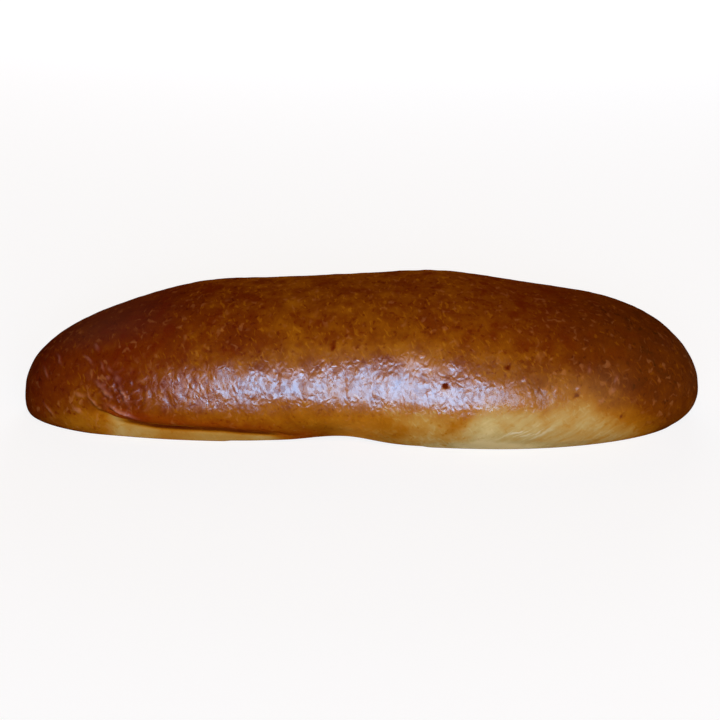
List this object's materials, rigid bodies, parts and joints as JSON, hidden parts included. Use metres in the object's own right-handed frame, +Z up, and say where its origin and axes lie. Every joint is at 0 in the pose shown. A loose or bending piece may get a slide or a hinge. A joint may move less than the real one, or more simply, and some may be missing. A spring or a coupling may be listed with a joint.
{
  "type": "buttermilk loaf",
  "caption": "Long hand-shaped buttermilk loaf with a glossy browned crust, a fold of crust over a pale foot on its front, and a flat base to rest on.",
  "frame": {"origin": "middle of the loaf's box in plan, on the flat base", "axes": "+X along the loaf towards its blunter end, +Y from the side with the fold and the belly towards the plain back, +Z up"},
  "size_m": [0.3, 0.1, 0.0613],
  "materials": {
    "crust": "glossy browned crust, darker on top and at the ends, pale yellow low on the front"
  },
  "bodies": {
    "root": {"loaf": "crust"}
  },
  "joints": []
}
